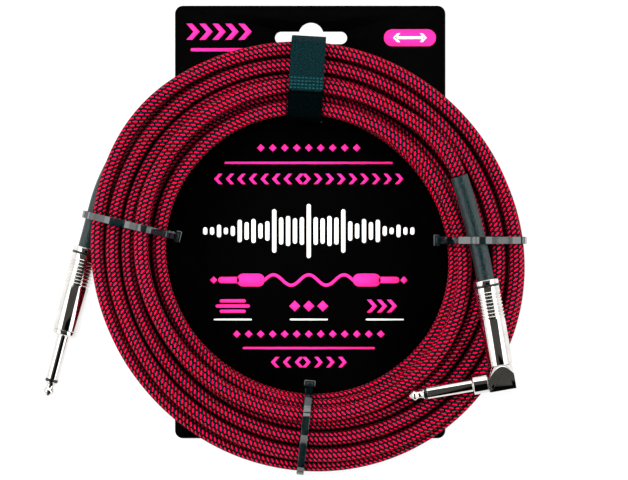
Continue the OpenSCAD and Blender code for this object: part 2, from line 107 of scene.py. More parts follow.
def linkMesh(mesh, name, material, sharpAbove=None):
    # a worked bmesh becomes an object
    data = bpy.data.meshes.new(name)
    mesh.to_mesh(data)
    mesh.free()
    data.materials.append(material)
    data.polygons.foreach_set("use_smooth", [True] * len(data.polygons))
    if sharpAbove:
        data.set_sharp_from_angle(angle=radians(sharpAbove))
    return linked(name, data)


def finishPiece(mesh, name, material, replaced=(), body="hung_cable", sharpAbove=40):
    # a piece rides its body, unless it is given none, and stands for the named CAD nodes
    piece = linkMesh(mesh, name, material, sharpAbove)
    if body:
        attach(piece, body)
    if replaced:
        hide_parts(*replaced)
    return piece


def addInto(mesh, part):
    # a worked part joins the bmesh of its piece
    data = bpy.data.meshes.new("part")
    part.to_mesh(data)
    part.free()
    mesh.from_mesh(data)
    bpy.data.meshes.remove(data)


def moveTo(mesh, matrix):
    bmesh.ops.transform(mesh, matrix=matrix, verts=mesh.verts)


def faceOut(mesh):
    bmesh.ops.recalc_face_normals(mesh, faces=mesh.faces)


def copyOf(node):
    # a bmesh of a CAD node with its loose triangles joined
    mesh = bmesh.new()
    mesh.from_mesh(nodes[node].data)
    bmesh.ops.remove_doubles(mesh, verts=mesh.verts, dist=2e-6)
    return mesh


def bevelSharp(mesh, width, above=60, segments=2):
    edges = [e for e in mesh.edges if len(e.link_faces) == 2 and e.calc_face_angle() > radians(above)]
    bmesh.ops.bevel(mesh, geom=edges, offset=mm(width), segments=segments, profile=0.5,
                    affect="EDGES", material=-1, clamp_overlap=True)


# camera, straight above the card

cameraSet = {"at": (14.6, 0.5, 1400.0), "fieldWidth": 314.0, "sensor": 36.0, "nearest": 50.0}
cameraData = bpy.data.cameras.new("camera")
cameraData.sensor_width = cameraSet["sensor"]
cameraData.lens = cameraSet["sensor"] * cameraSet["at"][2] / cameraSet["fieldWidth"]
cameraData.clip_start = mm(cameraSet["nearest"])
camera = linked("camera", cameraData)
camera.location = mm(*cameraSet["at"])
bpy.context.scene.camera = camera


# the braided cord: four layers of loops and two free leads, one unbroken tube

cordSet = {"diameter": 7.0, "centre": (11.5, -7.2), "startAngle": 130.0,
           "layerTurns": (3.5, 4.2778, 4.2, 1.2167), "layerEnds": (99.7, 71.7, 105.2, 71.7, 85.0),
           "firstZ": 5.4, "layerHeight": 7.5, "drift": 1.4, "oval": 2.5, "ovalAngle": 142.0,
           "bulge": 3.2, "bulgeAt": 138.0, "tuck": 1.1, "tuckAt": 208.0,
           "ringsPerTurn": 236, "leadStep": 2.4, "sides": 18}
straightEnd = {"rear": (-98.5, -3.3, 6.8), "lean": 14.8, "barrel": 42.5, "run": 22.0, "bendRadius": 85.0,
               "sleeving": 52.0, "side": 1}
angleEnd = {"corner": (106.7, -67.5, 35.475), "lean": 10.0, "rear": 49.4, "barrel": 42.3, "shoulder": 15.1,
            "foot": 7.1, "run": 0.0, "bendRadius": 346.0, "sleeving": 52.0, "side": -1}
straightRoute = [(-76.7, 49.8, 6.7), (-72.8, 54.4, 6.3), (-68.6, 58.7, 5.9), (-64.2, 62.8, 5.5)]
angleRoute = [(83.1, 37, 35.1), (80.3, 42, 34), (76.9, 46.6, 32.5), (73.1, 50.8, 30.9),
              (68.8, 54.6, 29.4), (64.1, 58, 28.3)]
marks = [sum(cordSet["layerTurns"][:k]) for k in range(5)]
turns = marks[4]


def leaned(end, more=0.0):
    # the way from a plug's barrel to its cord, in the plane of the card
    lean = radians(end["lean"]) + more
    return Vector((end["side"] * sin(lean), cos(lean), 0))


def ease(x):
    q = max(0.0, min(1.0, x))
    return q * q * (3 - 2 * q)


def swell(angle, middle, power):
    # 1 at the middle angle, falling off to both sides
    return max(0.0, cos(radians(angle - middle))) ** power


def coilPoint(turn):
    c = cordSet
    layer = sum(turn >= mark for mark in marks[1:4])
    ends = c["layerEnds"]
    share = (turn - marks[layer]) / c["layerTurns"][layer]
    spiral = ends[layer] + (ends[layer + 1] - ends[layer]) * share
    angle = c["startAngle"] - 360 * turn
    outness = (spiral - ends[1]) / (ends[2] - ends[1])
    # the outermost loop bulges out over the straight lead and is tucked in below it
    slip = (c["bulge"] * swell(angle, c["bulgeAt"], 16)
            - c["tuck"] * swell(angle, c["tuckAt"], 8))
    radius = (spiral + c["drift"] * outness * cos(radians(angle))
              + c["oval"] * cos(radians(2 * (angle - c["ovalAngle"])))
              + slip * outness ** 8)
    height = c["firstZ"] + c["layerHeight"] * sum(
        ease(2 * (turn - mark) + 0.5) for mark in marks[1:4])
    return Vector((c["centre"][0] + radius * cos(radians(angle)),
                   c["centre"][1] + radius * sin(radians(angle)), height))


def heading(turn, nudge=0.002):
    return (coilPoint(turn + nudge) - coilPoint(turn - nudge)).normalized()


def sleevingPath(end, rear, steps=26):
    # straight for a run, then an arc that leans further to the end's side
    points = []
    start, radius, side = radians(end["lean"]), end["bendRadius"], end["side"]
    for i in range(steps + 1):
        s = end["sleeving"] * i / steps
        bend = start + max(0.0, s - end["run"]) / radius
        along = min(s, end["run"])
        x = side * (sin(start) * along + radius * (cos(start) - cos(bend)))
        y = cos(start) * along + radius * (sin(bend) - sin(start))
        points.append(Vector(rear) + Vector((x, y, 0)))
    return points, Vector((side * sin(bend), cos(bend), 0))


def smoothRun(points, first, last, step=2.4):
    # a curve through the chosen points, with the given directions at its ends
    run = []
    for i in range(len(points) - 1):
        a, b = points[i], points[i + 1]
        gap = (b - a).length
        ta = first * gap if i == 0 else (points[i + 1] - points[i - 1]).normalized() * gap
        tb = last * gap if i == len(points) - 2 else (points[i + 2] - a).normalized() * gap
        count = max(1, round(gap / step))
        for k in range(count):
            t = k / count
            run.append(a * (2 * t ** 3 - 3 * t ** 2 + 1) + ta * (t ** 3 - 2 * t ** 2 + t)
                       + b * (3 * t ** 2 - 2 * t ** 3) + tb * (t ** 3 - t ** 2))
    return run + [points[-1]]


def unwrapped(steps, count):
    # the face that closes a ring goes on past the last step instead of back to 0
    closes = max(steps) - min(steps) > 1
    return [step + (count if closes and step == 0 else 0) for step in steps]


def tubeMesh(points, diameter, sides):
    # Blender's own bevelled curve makes the tube; its UVs are then written in metres along and around
    curve = bpy.data.curves.new("line", "CURVE")
    curve.dimensions = "3D"
    curve.twist_mode = "Z_UP"
    curve.bevel_depth = mm(diameter) / 2
    curve.bevel_resolution = (sides - 4) // 2
    curve.use_fill_caps = True
    line = curve.splines.new("POLY")
    line.points.add(len(points) - 1)
    line.points.foreach_set("co", [c for p in points for c in (*mm(*p), 1.0)])
    line.use_smooth = True
    carrier = linked("line", curve)
    bpy.context.view_layer.update()
    mesh = bpy.data.meshes.new_from_object(carrier.evaluated_get(bpy.context.evaluated_depsgraph_get()))
    bpy.data.objects.remove(carrier)
    caps = len(mesh.vertices) - sides * len(points)
    lengths = [0.0]
    for a, b in zip(points, points[1:]):
        lengths.append(lengths[-1] + (b - a).length)
    layer = mesh.uv_layers.active or mesh.uv_layers.new(name="UVMap")
    for face in mesh.polygons:
        vertices = [mesh.loops[i].vertex_index - caps for i in face.loop_indices]
        if min(vertices) < 0:
            continue
        steps = unwrapped([v % sides for v in vertices], sides)
        for loop, v, step in zip(face.loop_indices, vertices, steps):
            layer.data[loop].uv = mm(lengths[v // sides], step / sides * pi * diameter)
    joined = bmesh.new()
    joined.from_mesh(mesh)
    bmesh.ops.remove_doubles(joined, verts=joined.verts, dist=1e-7)
    bpy.data.meshes.remove(mesh)
    return joined, lengths[-1]


angleRear = Vector(angleEnd["corner"]) + angleEnd["rear"] * leaned(angleEnd)
straightSleevePath, straightOut = sleevingPath(straightEnd, straightEnd["rear"])
angleSleevePath, angleOut = sleevingPath(angleEnd, angleRear)
coilStart = coilPoint(0) - cordSet["diameter"] * heading(0)
coilEnd = coilPoint(turns) + cordSet["diameter"] * heading(turns)
leadIn = smoothRun([straightSleevePath[-1]] + [Vector(p) for p in straightRoute] + [coilStart],
                   straightOut, heading(0), cordSet["leadStep"])
leadOut = smoothRun([angleSleevePath[-1]] + [Vector(p) for p in angleRoute] + [coilEnd],
                    angleOut, -heading(turns), cordSet["leadStep"])
loopCount = round(turns * cordSet["ringsPerTurn"])
loops = [coilPoint(turns * i / loopCount) for i in range(loopCount + 1)]
# each end of the coil runs straight for one diameter before its lead begins
startStep, endStep = heading(0) * cordSet["leadStep"], heading(turns) * cordSet["leadStep"]
cordPoints = (leadIn + [coilStart + startStep * k for k in (1, 2)] + loops
              + [coilPoint(turns) + endStep * k for k in (1, 2)] + leadOut[::-1])
cordMesh, cordLength = tubeMesh(cordPoints, cordSet["diameter"], cordSet["sides"])
print("cord:", round(cordLength, 1), "mm,", len(cordMesh.faces), "faces")

# widths and lengths of a float are shares of one strand and one row; fibres are noise cells per metre
braidSet = {"period": 2.33, "rows": 8, "strands": 7, "slant": 0.45, "floatWidth": 0.171,
            "floatLength": 0.41, "roundness": 3.0, "softEdge": (0.6, 1.05), "blackFrom": 0.22,
            "blackReach": 0.26, "blackDip": 1.6, "blackPower": 2.5, "blackPatches": (0.35, 0.65),
            "red": "#ff0030", "redDeep": "#b8001a", "pink": "#ff0048", "black": "#000101",
            "blackHighlight": "#33676a", "redShare": 1.3, "highlightShare": 0.7, "fibres": 2600.0,
            "relief": 0.45, "redRelief": 0.6, "reliefStrength": 0.8, "shadeReach": 6.0, "shadePower": 1.6}


def makeBraid():
    # Woven polyester braid: crimson strands wind one way and black ones cross them. Each red float is
    # about 0.6 mm wide and just under 3 mm long, so it reads as a rounded dash in rows along the cord.
    material, shader, add = newMaterial("wovenPolyesterBraid")
    b, girth = braidSet, pi * mm(cordSet["diameter"])
    uv = add("UVMap", uv_map="UVMap")
    along, around, _ = add("SeparateXYZ", uv).node.outputs
    # the strand's number falls round the girth, so the strands wind along the cord
    strand = add("FRACT", add("MULTIPLY_ADD", around, -b["strands"] / girth,
                              add("MULTIPLY", along, 1 / mm(b["period"]))))
    offset = add("SUBTRACT", strand, 0.5)
    # the row's number, its ends slanted by the black strand that crosses there
    row = add("FRACT", add("MULTIPLY_ADD", offset, b["slant"], add("MULTIPLY", around, b["rows"] / girth)))
    acrossAway = add("ABSOLUTE", offset)
    alongAway = add("ABSOLUTE", add("SUBTRACT", row, 0.5))
    away = add("ADD", add("POWER", add("DIVIDE", acrossAway, b["floatWidth"]), b["roundness"]),
               add("POWER", add("DIVIDE", alongAway, b["floatLength"]), b["roundness"]))
    dash = add("MapRange", away, *b["softEdge"], 1.0, 0.0)
    # the black strand between two red ones is round too, and dips where a strand crosses it
    dip = add("SUBTRACT", 1.0, add("MULTIPLY", alongAway, b["blackDip"]))
    rise = add("MULTIPLY", add("SUBTRACT", acrossAway, b["blackFrom"]), dip)
    blackRise = add("MapRange", rise, 0.0, b["blackReach"], 0.0, 1.0)
    fibres = add("TexNoise", {"Vector": uv, "Scale": b["fibres"], "Detail": 1.0})
    redTone = add("Mix", add("MULTIPLY", fibres, b["redShare"]), b["redDeep"], b["red"])
    # painted highlight: along the middle of each float the red is mixed pinker, as if the yarn there
    # catches the light
    middle = add("MULTIPLY", add("SUBTRACT", 1.0, away), b["highlightShare"])
    redTone = add("Mix", middle, redTone, b["pink"])
    # painted highlight: in patches, the crown of each black strand is mixed towards a pale teal tone
    patches = add("MapRange", fibres, *b["blackPatches"], 0.0, 1.0)
    crown = add("MULTIPLY", add("POWER", blackRise, b["blackPower"]), patches)
    tone = add("Mix", dash, add("Mix", crown, b["black"], b["blackHighlight"]), redTone)
    # painted shade: an occlusion factor darkens the colour towards black where little light reaches down
    # between two loops
    openness = add("AmbientOcclusion", {"Distance": mm(b["shadeReach"])}, samples=8, output="AO")
    paintedShadeFactor = add("POWER", openness, b["shadePower"])
    height = add("ADD", add("MULTIPLY", dash, b["redRelief"]),
                 add("MULTIPLY", blackRise, 1 - b["redRelief"]))
    fill(shader, {"Roughness": 0.65, "Specular IOR Level": 0.02,
                  "Base Color": add("Mix", paintedShadeFactor, "#000000", tone),
                  "Normal": add("Bump", {"Height": height, "Distance": mm(b["relief"]),
                                         "Strength": b["reliefStrength"]})})
    return material


cord = finishPiece(cordMesh, "braidedCord", makeBraid(),
                   ["cable_coil", "straight_lead", "angle_lead"], sharpAbove=None)


# finishes of the rigid pieces: the tones of the base colour, the range of roughness, the relief in mm, and
# the noise's cells per metre and detail for each of these three

finishSet = {
    # bright nickel plate on turned brass: mirror-like, faintly warm, hazed here and there by handling
    "brightNickelPlate": {
        "tones": ("#d6d2cd", "#ebe8e4"), "rough": (0.04, 0.08), "relief": 0.004, "strength": 0.2,
        "cells": (160, 420, 900), "detail": (3, 3, 2), "sockets": {"Metallic": 1.0}},
    # polyolefin shrunk on with heat: satin black, so tight that the braid below shows as faint ribs
    "heatShrunkPolyolefin": {
        "tones": ("#020809", "#0b2022"), "rough": (0.3, 0.42), "relief": 0.18, "strength": 0.8,
        "cells": (900, 1500, 900), "detail": (3, 2, 3), "onMap": True},
    # paperboard printed solid black under a satin varnish: deep black with a faint fibre grain
    "varnishedPaperboard": {
        "tones": ("#000000", "#020202"), "rough": (0.45, 0.6), "relief": 0.02, "strength": 0.5,
        "cells": (2500, 900, 3000), "detail": (4, 3, 2), "sockets": {"Specular IOR Level": 0.012}},
    # nylon moulded in a polished tool: gloss black; its relief is its bends, whose height is in metres
    "mouldedNylonTie": {
        "tones": ("#020506", "#0a1c1e"), "rough": (0.1, 0.16), "relief": 1000, "strength": 1.0,
        "cells": (260, 650), "sockets": {"IOR": 1.9}},
    # brass sheet with a dip of tin: pale, dull yellow-white metal
    "tinnedBrassSheet": {
        "tones": ("#b9ad86", "#d3cbb0"), "rough": (0.25, 0.4), "cells": (300, 700),
        "sockets": {"Metallic": 1.0}},
    # acetal turned from bar: even black with the fine sheen of the cut
    "turnedAcetalRing": {
        "tones": ("#050506", "#0d0d0f"), "rough": (0.22, 0.34), "relief": 0.01, "cells": (500, 1250, 2000)},
    # vulcanised fibre pressed to sheet: matt red-brown
    "pressedFibreWasher": {
        "tones": ("#4a2a16", "#6b4024"), "rough": (0.6, 0.8), "relief": 0.03, "cells": (900, 2250, 3600)},
    # rubber drawn through a die: dull black
    "extrudedRubberJacket": {
        "tones": ("#101011", "#1a1a1c"), "rough": (0.5, 0.65), "relief": 0.03, "cells": (400, 1000, 1600)},
    # polypropylene drawn to tube: milky grey, half gloss
    "extrudedPolypropyleneTube": {
        "tones": ("#a8aaa6", "#c2c4bf"), "rough": (0.25, 0.35), "relief": 0.01, "cells": (200, 500, 800)},
    # polyester spun to sewing thread: dull black yarn that takes a grey-green light
    "polyesterThread": {
        "tones": ("#051f21", "#184a4d"), "rough": (0.6, 0.8), "relief": 0.04,
        "cells": (2000, 5000, 8000), "sockets": {"Specular IOR Level": 0.08}}}

tieBendSet = {"shift": 3.0, "length": 11.0, "from": 1.4, "to": 9.6, "slope": 0.42}


def tieBends(add):
    # each tie takes its bends in short flat stretches between the loops, so pale and dark lengths follow
    # each other along it
    along = add("SeparateXYZ", add("UVMap", uv_map="UVMap"))
    swing = add("PINGPONG", add("ADD", along, mm(tieBendSet["shift"])), mm(tieBendSet["length"]))
    bends = add("Clamp", swing, mm(tieBendSet["from"]), mm(tieBendSet["to"]))
    return add("MULTIPLY", bends, tieBendSet["slope"])


def makeFinish(name, heightOf=None):
    look = finishSet[name]
    material, shader, add = newMaterial(name)
    coords = add("UVMap", uv_map="UVMap") if look.get("onMap") else None
    cells, detail = look["cells"], look.get("detail", (3, 2, 2))
    fill(shader, {"Base Color": add("Mix", grain(add, cells[0], detail[0], coords=coords), *look["tones"]),
                  "Roughness": grain(add, cells[1], detail[1], *look["rough"], coords)})
    fill(shader, look.get("sockets", {}))
    if "relief" in look:
        height = heightOf(add) if heightOf else grain(add, cells[2], detail[2], coords=coords)
        fill(shader, {"Normal": add("Bump", {"Height": height, "Distance": mm(look["relief"]),
                                             "Strength": look.get("strength", 0.7)})})
    return material


nickel, brass = makeFinish("brightNickelPlate"), makeFinish("tinnedBrassSheet")
board, sleeving = makeFinish("varnishedPaperboard"), makeFinish("heatShrunkPolyolefin")
nylon, thread = makeFinish("mouldedNylonTie", tieBends), makeFinish("polyesterThread")
acetal, fibre = makeFinish("turnedAcetalRing"), makeFinish("pressedFibreWasher")
rubber, polypropylene = makeFinish("extrudedRubberJacket"), makeFinish("extrudedPolypropyleneTube")
finishOf = {"_tip_ring": acetal, "_barrel_ring": acetal, "_washer": fibre, "_tag": brass, "_core": rubber,
            "_insulator": polypropylene, "_sleeving": sleeving, "_tie": nylon, "hang_card": board}
for name, node in nodes.items():
    fitting = next((finish for end, finish in finishOf.items() if name.endswith(end)), nickel)
    for materialSlot in node.material_slots:
        materialSlot.material = fitting
print("finishes set on", len(nodes), "nodes")


# jack plugs: turned pieces are spun round the plug's axis, which points from the tip to the cable. The
# barrel draws in by foot at its front edge, by waist before its ribs and by shoulder behind them

plugSet = {"shaft": 3.175, "shaftLength": 31.5, "root": 0.3, "ringAt": 22.5, "ringLength": 1.5, "pin": 1.1,
           "bush": 2.2, "flange": 5.7, "flangeLength": 2.4, "flangeEdge": 0.8, "faceGap": 0.1,
           "neck": 4.8, "neckLength": 6.0, "neckEdge": 0.3, "threadPitch": 0.8, "threadWidth": 0.84,
           "threadRise": 0.25, "threadSink": 0.05, "threadFrom": 0.6, "threadTo": 5.0,
           "collar": 4.9, "collarLength": 7.5, "collarEdge": 0.4, "barrel": 6.4, "bore": 5.2,
           "sleevingBore": 4.6, "foot": 0.7, "waist": 0.2, "shoulder": 0.15, "tail": 5.0, "chamfer": 0.4,
           "ribs": 8, "ribPitch": 1.7, "ribDepth": 0.45, "ribGap": 1.0, "mark": 1.2, "markDepth": 0.9,
           "markEdge": (0.15, 0.2), "markProud": 0.05, "steps": 96, "threadSteps": 48, "edge": 0.07,
           "sharp": 32}
# a groove and a rounded crown: shares of the pitch, and of the depth
ribProfile = ((0.02, 1), (0.36, 1), (0.42, 0.35), (0.5, 0.08), (0.67, 0), (0.84, 0.08), (0.94, 0.35))
# radius and distance back of the blunt point, then the ball and the waist that a socket's spring drops into
tipSet = {"point": ((0, 0), (0.45, 0.04), (0.85, 0.25), (1.1, 0.6)), "ballAt": 2.8, "ballDrop": 0.45,
          "ballSwell": 0.5, "ballReach": 0.9, "waistAt": 4.9, "waistDrop": 1.35, "waistSwell": 1.05,
          "rim": 0.3, "rootGap": 1.0}


def shift(x, y, z):
    return Matrix.Translation(mm(x, y, z))


def rotate(angle, axis="Z"):
    return Matrix.Rotation(radians(angle), 4, axis)


footAt = plugSet["flangeLength"] + plugSet["faceGap"]
straightFoot = (shift(*(Vector(straightEnd["rear"]) - straightEnd["barrel"] * leaned(straightEnd)))
                @ rotate(-straightEnd["lean"]) @ rotate(-90, "X"))
straightShoulder = straightFoot @ shift(0, 0, -footAt)
elbowFrame = shift(*angleEnd["corner"]) @ rotate(angleEnd["lean"])
angleShoulder = elbowFrame @ shift(-angleEnd["shoulder"], 0, 0) @ rotate(90, "Y")
angleFoot = elbowFrame @ shift(0, angleEnd["foot"], 0) @ rotate(-90, "X")


def turned(outline, at, closed=True):
    # spin a list of (radius, height) pairs, in mm, and soften its sharp edges
    mesh = bmesh.new()
    line = [mesh.verts.new(mm(r, 0, z)) for r, z in outline]
    pairs = list(zip(line, line[1:])) + ([(line[-1], line[0])] if closed else [])
    edges = [mesh.edges.new(pair) for pair in pairs]
    bmesh.ops.spin(mesh, geom=line + edges, cent=(0, 0, 0), axis=(0, 0, 1), angle=tau,
                   steps=plugSet["steps"], use_merge=True)
    bmesh.ops.remove_doubles(mesh, verts=mesh.verts, dist=1e-7)
    faceOut(mesh)
    bevelSharp(mesh, plugSet["edge"], plugSet["sharp"])
    moveTo(mesh, at)
    return mesh


def tipOutline(back):
    r, end, t = plugSet["shaft"], plugSet["shaftLength"], tipSet
    ball = [(r - t["ballDrop"] - t["ballSwell"] * (1 - cos(radians(a))),
             -end + t["ballAt"] + t["ballReach"] * sin(radians(a))) for a in range(-50, 71, 20)]
    waistLength = end - back - t["waistAt"] - t["rim"]
    waist = [(r - t["waistDrop"] + t["waistSwell"] * (k / 6) ** 2,
              -end + t["waistAt"] + waistLength * k / 6) for k in range(7)]
    root = t["rootGap"] - plugSet["ringAt"]
    return ([(x, z - end) for x, z in t["point"]] + ball + waist
            + [(r - t["rim"], -back), (plugSet["pin"], -back), (plugSet["pin"], root), (0, root)])


def barrelOutline(length, markFrom):
    # chamfered foot, slow taper, grip ribs with rounded crowns, and a groove for the black ring
    p, r, c = plugSet, plugSet["barrel"], plugSet["chamfer"]
    tailFrom, markTo = length - p["tail"], markFrom + p["mark"]
    gap, tail, groove = p["ribGap"], r - p["shoulder"], r - p["markDepth"]
    ribFrom = tailFrom - p["ribs"] * p["ribPitch"] - gap
    ribs = [(r - p["ribDepth"] * sink, ribFrom + (i + part) * p["ribPitch"])
            for i in range(p["ribs"]) for part, sink in ribProfile]
    outside = [(tail, tailFrom - gap), (tail, markFrom), (groove, markFrom), (groove, markTo),
               (r, markTo), (r, length - c), (r - c, length)]
    inside = [(p["sleevingBore"], length), (p["sleevingBore"], tailFrom), (p["bore"], tailFrom)]
    return ([(p["bore"], 0), (r - p["foot"], 0), (r - c, c), (r - p["waist"], ribFrom - c)] + ribs
            + outside + inside)


def threadOn(at):
    # a fine ridge wound round the neck that the barrel screws onto
    mesh = bmesh.new()
    p = plugSet
    r, length = p["neck"] - p["threadSink"], p["threadTo"] - p["threadFrom"]
    half = p["threadPitch"] * p["threadWidth"] / 2
    ridge = [(r, -half), (r + p["threadRise"], 0), (r, half)]
    cap = mesh.faces.new([mesh.verts.new(mm(x, 0, p["threadFrom"] + z)) for x, z in ridge])
    windings = length / p["threadPitch"]
    steps = round(windings * p["threadSteps"])
    bmesh.ops.spin(mesh, geom=[cap], cent=(0, 0, 0), axis=(0, 0, 1), angle=tau * windings, steps=steps,
                   dvec=mm(0, 0, length / steps))
    faceOut(mesh)
    moveTo(mesh, at)
    return mesh


def shaftFront(side):
    # forward of the shoulder: the straight plug's flange and neck, or the collar let into the elbow
    p = plugSet
    if side == "angle":
        r, edge, end = p["collar"], p["collarEdge"], p["collarLength"]
        return [(r - edge, 0), (r, edge), (r, end - edge), (r - edge, end), (p["bush"], end)]
    r, neck, edge, behind = p["flange"], p["neck"], p["flangeEdge"], p["flangeLength"]
    end, c = behind + p["neckLength"], p["neckEdge"]
    return [(r - edge, 0), (r, edge), (r, behind), (neck, behind), (neck, end - c), (neck - c, end),
            (p["bush"], end)]


def makePlug(side, shoulder, foot, length):
    p = plugSet
    r, pin, ringAt, root = p["shaft"], p["pin"], p["ringAt"], p["root"]
    back, markFrom = ringAt + p["ringLength"], length - p["tail"] / 2 - p["mark"]
    markTo, groove, proud = markFrom + p["mark"], p["barrel"] - p["markDepth"], p["barrel"] + p["markProud"]
    inward, edge = p["markEdge"]
    ring = [(pin, -back), (r, -back), (r, -ringAt), (pin, -ringAt)]
    shaft = [(p["bush"], -ringAt), (r, -ringAt), (r, -root), (r + root, 0)]
    mark = [(groove, markFrom), (proud - inward, markFrom), (proud, markFrom + edge),
            (proud, markTo - edge), (proud - inward, markTo), (groove, markTo)]
    for name, mesh, body, node in (
            ("Tip", turned(tipOutline(back), shoulder, False), "hung_cable", "_tip"),
            ("TipRing", turned(ring, shoulder), "hung_cable", "_tip_ring"),
            ("Shaft", turned(shaft + shaftFront(side), shoulder), "hung_cable", "_shaft"),
            ("Barrel", turned(barrelOutline(length, markFrom), foot), side + "_barrel", "_barrel"),
            ("BarrelRing", turned(mark, foot), side + "_barrel", "_barrel_ring"),
            ("NeckThread", threadOn(foot), "hung_cable", "")):
        black = name.endswith("Ring")
        finish, slot = (acetal, "black_insulating_ring") if black else (nickel, "bright_nickel")
        finishPiece(mesh, side + name, finish, [side + node] if node else (), body)
    print(side, "plug turned")


makePlug("straight", straightShoulder, straightFoot, straightEnd["barrel"])
makePlug("angle", angleShoulder, angleFoot, angleEnd["barrel"])


elbowSet = {"trimX": 5.4 / 6.4, "trimY": 4.8 / 6.0, "crownFrom": 2.8, "crownRise": 0.1,
            "edge": 0.24, "sharp": 25, "flat": 2.0}


def makeElbow():
    # the machined elbow, trimmed a little on its two outer sides, with its edges rounded over
    e = elbowSet
    mesh = copyOf("angle_elbow")
    flat = radians(e["flat"])
    bmesh.ops.dissolve_limit(mesh, angle_limit=flat, verts=mesh.verts, edges=mesh.edges)
    moveTo(mesh, elbowFrame.inverted())
    for v in mesh.verts:
        v.co.x *= e["trimX"] if v.co.x > 0 else 1
        v.co.y *= e["trimY"] if v.co.y < 0 else 1
    # polishing has crowned its flat top: the middle stands a hair above the margins
    top = max(mesh.faces, key=lambda face: face.calc_area() if face.normal.z > 0.9 else 0)
    bmesh.ops.inset_region(mesh, faces=[top], thickness=mm(e["crownFrom"]), depth=0)
    bmesh.ops.translate(mesh, verts=list(top.verts), vec=mm(0, 0, e["crownRise"]))
    moveTo(mesh, elbowFrame)
    bevelSharp(mesh, e["edge"], e["sharp"], 3)
    faceOut(mesh)
    finishPiece(mesh, "angleElbow", nickel, ["angle_elbow"])


makeElbow()

sleevingSet = {"diameter": 8.6, "inBarrel": 7.0, "sides": 40}


def sleevingPiece(side, path):
    # it starts inside the tail of the barrel, and its shrunk end grips the cord
    start = path[0] - sleevingSet["inBarrel"] * (path[1] - path[0]).normalized()
    mesh, _ = tubeMesh([start] + path, sleevingSet["diameter"], sleevingSet["sides"])
    finishPiece(mesh, side + "Sleeving", sleeving, [side + "_sleeving"], sharpAbove=50)


sleevingPiece("straight", straightSleevePath)
sleevingPiece("angle", angleSleevePath)


# bands round the loops: the hook-and-loop strap and three nylon ties. A band's place is the angle round
# the coil and its lean there, in degrees

bandSet = {"reach": 0.8, "footHeight": 2.2, "footRadius": 1.0, "hullSteps": 96,
           "cardSpring": (0.05, 0.25), "cardPlay": 0.01, "cardReach": 40.0}
tieSet = {"width": 3.6, "thickness": 1.2, "slack": 2.4, "ripple": 0.45, "rippleLength": 14.0, "steps": 240,
          "edge": 0.3, "head": (3.2, 6.6, 5.8), "headHeight": 9.0, "headEdge": 0.55,
          "recess": 0.5, "cutTail": (1.2, 7.2, 2.8), "tailSink": 1.8, "tailRise": 1.3, "tailEdge": 0.2,
          "left": (170.3, -3.6), "right": (4.9, -4.9), "bottom": (268.9, -5.1),
          "alongStraight": 16.0, "alongAngle": 17.0}
bandMiddle = (cordSet["layerEnds"][1] + cordSet["layerEnds"][2]) / 2


def crossing(turn, leanAngle):
    # where a leaned line over the coil meets a loop: distance along the line, and height
    off = bandMiddle * sin(radians(leanAngle))

    def radiusAt(t):
        p = coilPoint(t)
        return hypot(p.x - cordSet["centre"][0], p.y - cordSet["centre"][1])
    slip = (degrees(asin(off / radiusAt(turn))) - leanAngle) / 360
    r = radiusAt(turn + slip)
    return (bandMiddle + sqrt(r * r - off * off) - bandMiddle * cos(radians(leanAngle)),
            coilPoint(turn + slip).z)


def bandFrame(angle, leanAngle):
    # outward along the band, upward, and across it
    a, b = radians(angle), radians(angle + leanAngle)
    outward = Vector((cos(b), sin(b), 0))
    across = outward.cross(Vector((0, 0, 1)))
    x, y = cordSet["centre"]
    middle = Vector((x + bandMiddle * cos(a), y + bandMiddle * sin(a), 0))
    origin = mm(*(middle - bandMiddle * outward))
    return Matrix(((outward.x, 0, across.x, origin.x), (outward.y, 0, across.y, origin.y),
                   (0, 1, 0, 0), (0, 0, 0, 1)))


def crossings(angle, leanAngle):
    first = (cordSet["startAngle"] - angle) % 360 / 360
    return [crossing(first + k, leanAngle) for k in range(floor(turns - first) + 1)]


def bandOutline(marksAcross, extras, outerFoot, count):
    # the tight line round the loops and any extra (x, y, radius) rounds, at even steps, with its length
    reach, foot, rise = (bandSet[k] for k in ("reach", "footRadius", "footHeight"))
    loop = cordSet["diameter"] / 2
    innerFoot = min(x for x, y in marksAcross) - (loop + reach) + foot
    rounds = [(x, y, r + reach) for x, y, r in [(x, y, loop) for x, y in marksAcross] + extras]
    rounds += [(innerFoot, rise, foot), (outerFoot, rise, foot)]
    steps = [tau * k / bandSet["hullSteps"] for k in range(bandSet["hullSteps"])]
    cloud = [(x + r * cos(a), y + r * sin(a)) for x, y, r in rounds for a in steps]
    hull = [Vector(cloud[i]) for i in convex_hull_2d(cloud)]
    hull.append(hull[0])
    total = sum((b - a).length for a, b in zip(hull, hull[1:]))
    points, walked, target = [], 0.0, 0.0
    for a, b in zip(hull, hull[1:]):
        piece = (b - a).length
        while target < walked + piece - 1e-9 and len(points) < count:
            points.append(a.lerp(b, (target - walked) / piece))
            target += total / count
        walked += piece
    return points, total


